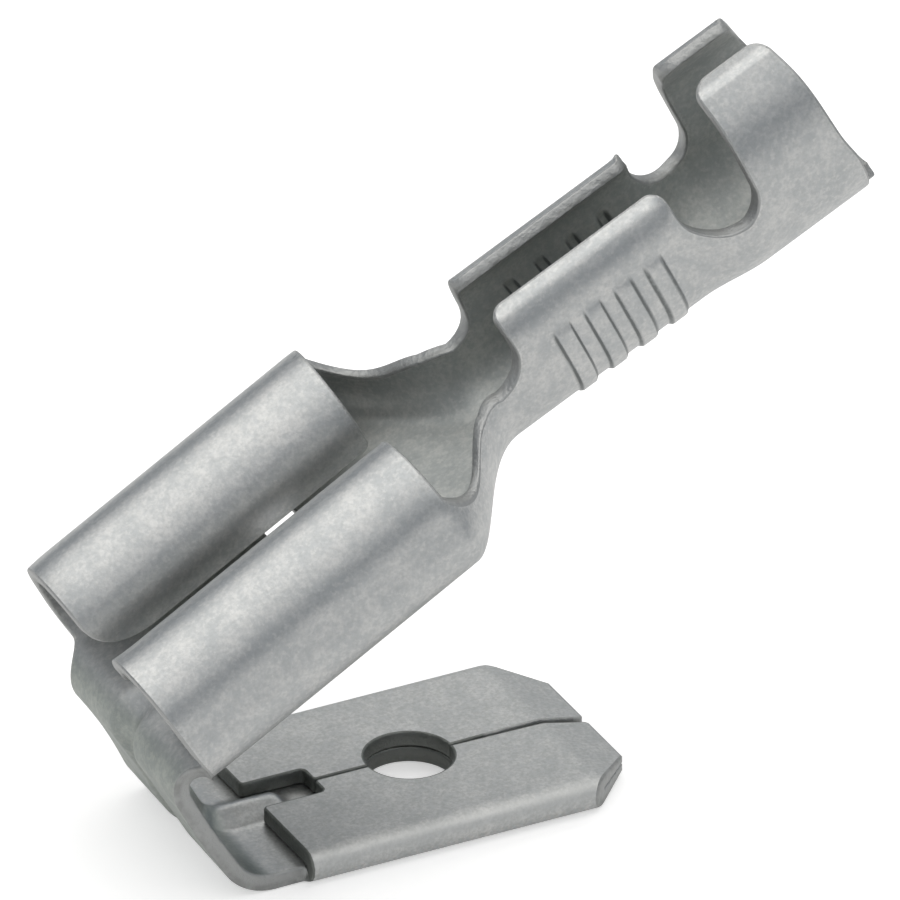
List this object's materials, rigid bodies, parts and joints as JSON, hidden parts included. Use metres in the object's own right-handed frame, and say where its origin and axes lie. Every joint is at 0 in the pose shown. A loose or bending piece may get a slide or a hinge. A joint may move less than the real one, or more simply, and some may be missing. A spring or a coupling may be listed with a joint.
{
  "type": "female spade terminal",
  "caption": "Push-on female receptacle terminal with rolled edges, a folded male tab hanging back under its mouth, an open wire crimp and an open insulation crimp.",
  "frame": {"origin": "centre of the tab's locating hole, on the tab's flat underside", "axes": "+X along the male tab towards its tip, +Z out of the tab's underside plane towards the socket, +Y across the part"},
  "size_m": [0.0199, 0.008, 0.0176],
  "materials": {
    "tinned_sheet": "satin tin plate over brass strip, slightly mottled"
  },
  "bodies": {
    "root": {"terminal": "tinned_sheet"}
  },
  "joints": []
}
